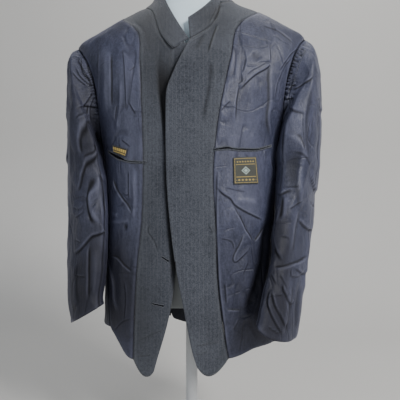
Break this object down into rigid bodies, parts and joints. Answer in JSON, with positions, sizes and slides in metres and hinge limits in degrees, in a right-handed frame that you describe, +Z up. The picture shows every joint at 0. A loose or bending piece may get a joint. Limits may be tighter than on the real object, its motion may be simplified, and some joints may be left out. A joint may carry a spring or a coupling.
{
  "type": "sport coat on limbless dress form with stand",
  "caption": "Sport coat worn inside out on a limbless torso form: open fronts, turned-up collar, empty sleeves and thin cloth walls, the form on a short pole and a round base.",
  "frame": {"origin": "middle of the flat underside of the form's round base, on the floor", "axes": "+Z up along the form's pole, -Y the way the coat faces, +X to the right of someone who looks at its open front"},
  "size_m": [0.5581, 0.3434, 1.044],
  "materials": {
    "facing_wool": "charcoal navy worsted with a fine vertical stripe, matt",
    "lining_satin": "navy satin lining with a violet sheen, soft gloss",
    "label_weave": "woven label, dark ground with a plain gold ornament",
    "button_resin": "dark polished resin",
    "form_white": "smooth cool white moulded plastic, satin",
    "stand_white": "white powder coat"
  },
  "bodies": {
    "root": {"facing_left": "facing_wool", "facing_right": "facing_wool", "collar": "facing_wool", "pocket_welt_left": "facing_wool", "pocket_welt_right": "facing_wool", "front_lining_left": "lining_satin", "front_lining_right": "lining_satin", "side_lining_left": "lining_satin", "side_lining_right": "lining_satin", "back_lining_left": "lining_satin", "back_lining_right": "lining_satin", "top_sleeve_left": "lining_satin", "top_sleeve_right": "lining_satin", "under_sleeve_left": "lining_satin", "under_sleeve_right": "lining_satin", "label_left": "label_weave", "label_right": "label_weave", "front_button_1": "button_resin", "front_button_2": "button_resin", "form_torso": "form_white", "form_pole": "stand_white", "form_base": "stand_white"}
  },
  "joints": []
}
